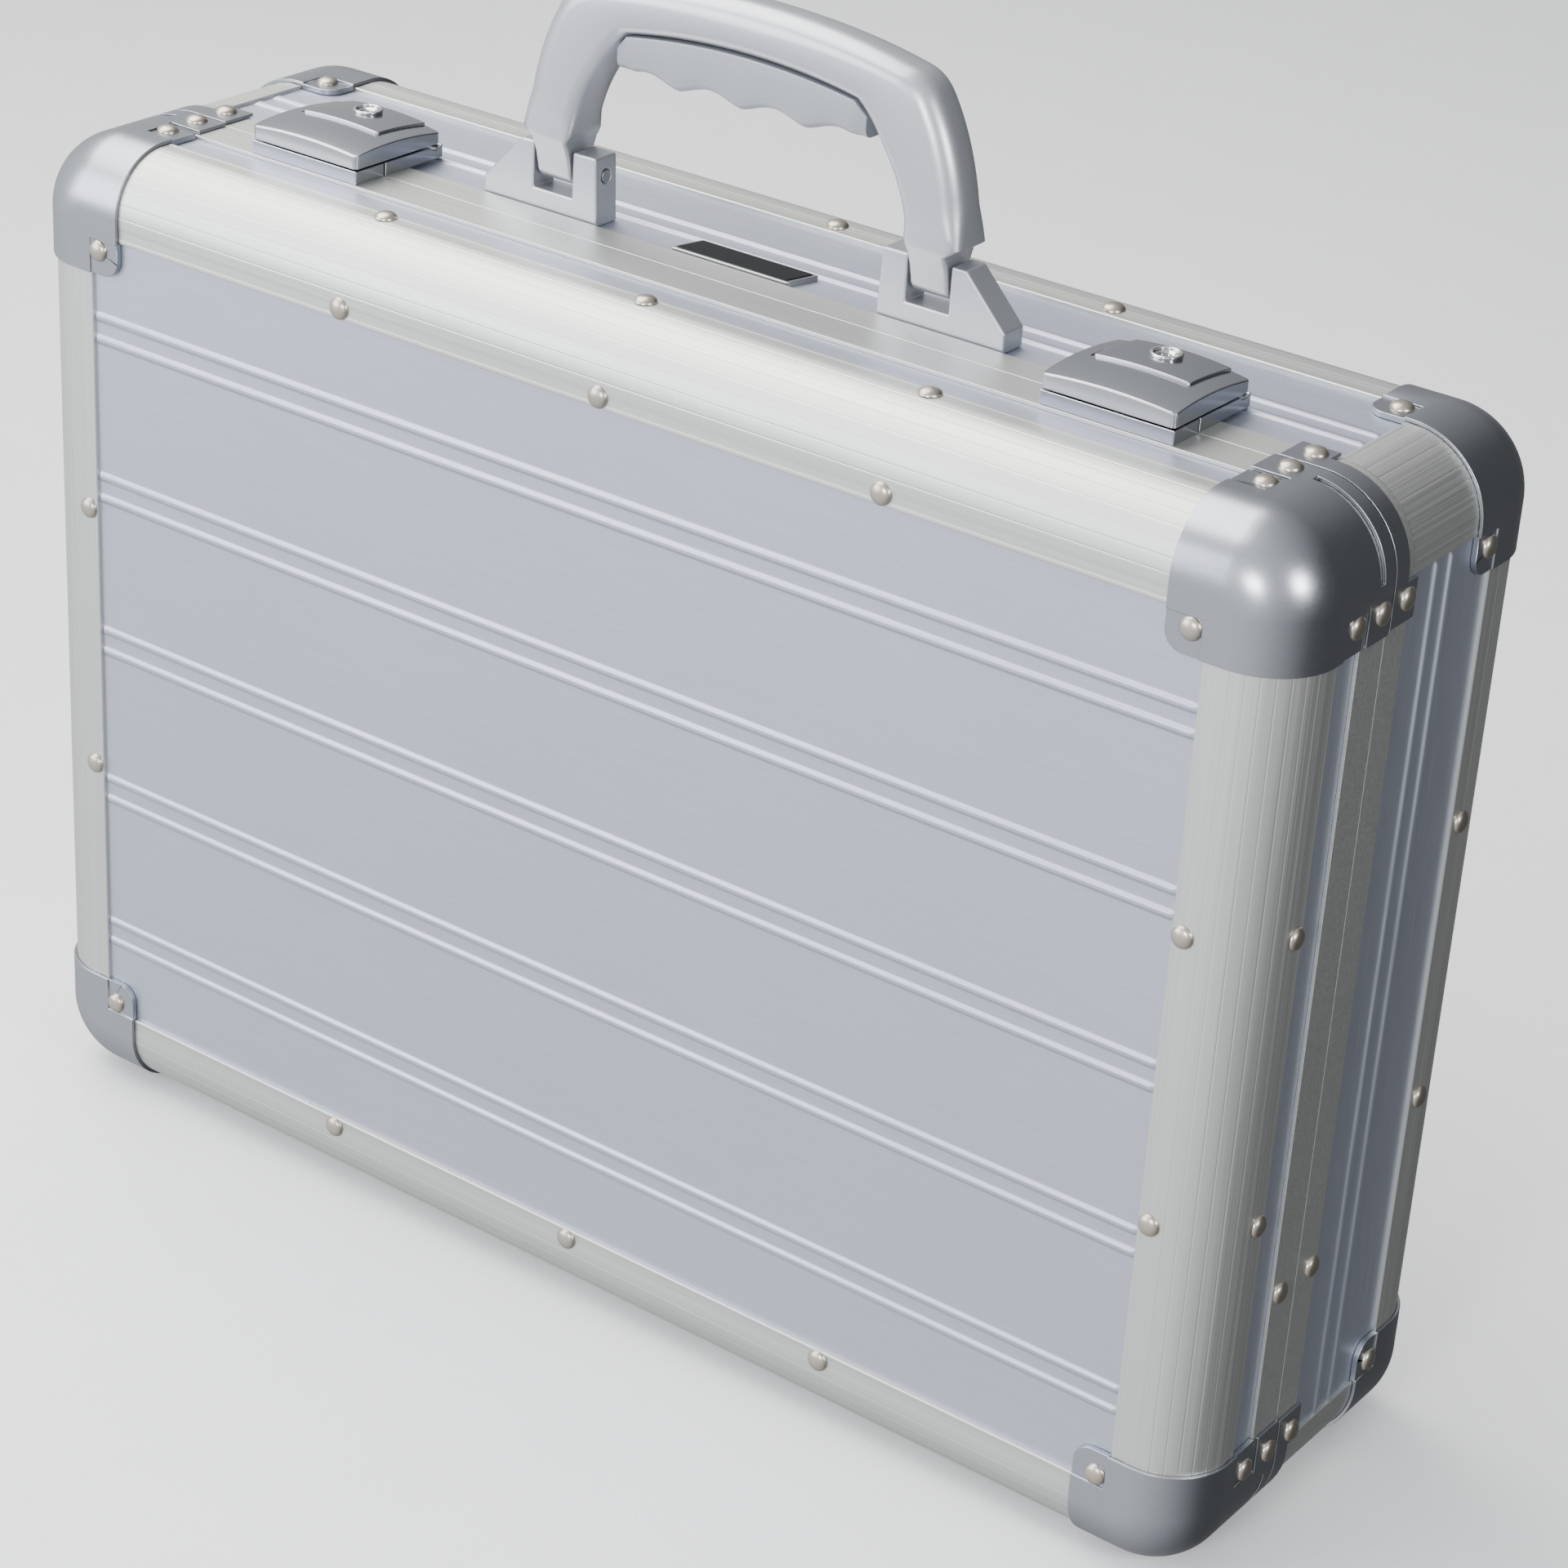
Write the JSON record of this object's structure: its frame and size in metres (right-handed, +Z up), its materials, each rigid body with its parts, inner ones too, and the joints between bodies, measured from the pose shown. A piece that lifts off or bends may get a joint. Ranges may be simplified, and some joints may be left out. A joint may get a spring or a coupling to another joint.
{
  "type": "attache case",
  "caption": "Rigid aluminium attache case with riveted steel corners, folding handle, paired key latches and a hinged lid.",
  "frame": {"origin": "on the floor plane, below the middle of the closed and standing case", "axes": "+X along the width, +Y from the lid (front) to the base (back), +Z up towards the handle"},
  "size_m": [0.4662, 0.1402, 0.4141],
  "materials": {
    "panel_sheet": "anodised, fine rolled grain",
    "edge_extrusion": "extruded, fine lengthwise grooves",
    "rim_extrusion": "extruded and anodised satin",
    "corner_steel": "pressed, satin nickel",
    "rivet_metal": "domed, bright nickel",
    "fibreboard": "raw hardboard",
    "lining_cloth": "dark grey woven lining",
    "hinge_steel": "rolled piano hinge",
    "foot_rubber": "moulded, matte",
    "handle_silver": "silver metallic, satin",
    "grip_plastic": "moulded, soft sheen",
    "pin_steel": "turned",
    "plate_metal": "dark satin, blank",
    "latch_metal": "die cast, bright satin chrome",
    "key_plate_metal": "die cast, polished",
    "lock_chrome": "polished",
    "stay_steel": "stamped strip",
    "pocket_leather": "stitched black, fine grain"
  },
  "bodies": {
    "base": {"back_bottom_extrusion": "edge_extrusion", "back_corner_left_bottom": "corner_steel", "back_corner_left_top": "corner_steel", "back_corner_right_bottom": "corner_steel", "back_corner_right_top": "corner_steel", "back_left_extrusion": "edge_extrusion", "back_panel": "panel_sheet", "back_right_extrusion": "edge_extrusion", "back_top_extrusion": "edge_extrusion", "base_boards": "fibreboard", "base_corner_clamps": "corner_steel", "base_corner_extrusions": "edge_extrusion", "base_feet": "foot_rubber", "base_lining": "lining_cloth", "base_rim": "rim_extrusion", "base_rivets": "rivet_metal", "base_wall_skins": "panel_sheet", "handle_bracket_left": "handle_silver", "handle_bracket_right": "handle_silver", "handle_pins": "pin_steel", "hinge_base_leaf": "hinge_steel", "hinge_pin": "hinge_steel", "latch_base_plates": "latch_metal", "latch_pins": "pin_steel", "name_plate": "plate_metal", "stay_base_rivets": "rivet_metal"},
    "lid": {"document_pocket": "pocket_leather", "front_panel": "panel_sheet", "hinge_lid_leaf": "hinge_steel", "latch_strike_plates": "latch_metal", "lid_boards": "fibreboard", "lid_bottom_extrusion": "edge_extrusion", "lid_corner_left_bottom": "corner_steel", "lid_corner_left_top": "corner_steel", "lid_corner_right_bottom": "corner_steel", "lid_corner_right_top": "corner_steel", "lid_feet": "foot_rubber", "lid_left_extrusion": "edge_extrusion", "lid_lining": "lining_cloth", "lid_right_extrusion": "edge_extrusion", "lid_rim": "rim_extrusion", "lid_rivets": "rivet_metal", "lid_top_extrusion": "edge_extrusion", "lid_wall_skins": "panel_sheet", "stay_lid_rivets": "rivet_metal"},
    "handle": {"handle_shell": "handle_silver", "handle_grip": "grip_plastic"},
    "latch_left": {"latch_lever_left": "latch_metal", "latch_key_plate_left": "key_plate_metal", "latch_hook_left": "latch_metal"},
    "latch_right": {"latch_lever_right": "latch_metal", "latch_key_plate_right": "key_plate_metal", "latch_hook_right": "latch_metal"},
    "lock_left": {"latch_lock_left": "lock_chrome"},
    "lock_right": {"latch_lock_right": "lock_chrome"},
    "stay_base": {"stay_base_bars": "stay_steel", "stay_knee_rivets": "rivet_metal"},
    "stay_lid": {"stay_lid_bars": "stay_steel"}
  },
  "joints": [
    {"name": "lid_hinge", "type": "hinge", "parent": "base", "child": "lid", "pos_m": [0, -0.0195, 0.0026], "axis": [1, 0, 0], "range_deg": [0, 95]},
    {"name": "handle_swivel", "type": "hinge", "parent": "base", "child": "handle", "pos_m": [0, -0.0019, 0.3487], "axis": [1, 0, 0], "range_deg": [-80, 80]},
    {"name": "latch_left_lift", "type": "hinge", "parent": "base", "child": "latch_left", "pos_m": [-0.146, 0.004, 0.3415], "axis": [-1, 0, 0], "range_deg": [0, 90]},
    {"name": "latch_right_lift", "type": "hinge", "parent": "base", "child": "latch_right", "pos_m": [0.146, 0.004, 0.3415], "axis": [-1, 0, 0], "range_deg": [0, 90]},
    {"name": "lock_left_turn", "type": "hinge", "parent": "latch_left", "child": "lock_left", "pos_m": [-0.146, -0.0035, 0.345], "axis": [0, 0, 1], "range_deg": [0, 90]},
    {"name": "lock_right_turn", "type": "hinge", "parent": "latch_right", "child": "lock_right", "pos_m": [0.146, -0.0035, 0.345], "axis": [0, 0, 1], "range_deg": [0, 90]},
    {"name": "stay_base_fold", "type": "hinge", "parent": "base", "child": "stay_base", "pos_m": [0, -0.0105, 0.091], "axis": [1, 0, 0], "range_deg": [0, 95]},
    {"name": "stay_lid_fold", "type": "hinge", "parent": "lid", "child": "stay_lid", "pos_m": [0, -0.0285, 0.091], "axis": [1, 0, 0], "range_deg": [-95, 0]}
  ],
  "couplings": [
    {"joint": "stay_base_fold", "follows": "lid_hinge", "ratio": 1},
    {"joint": "stay_lid_fold", "follows": "lid_hinge", "ratio": -1}
  ]
}
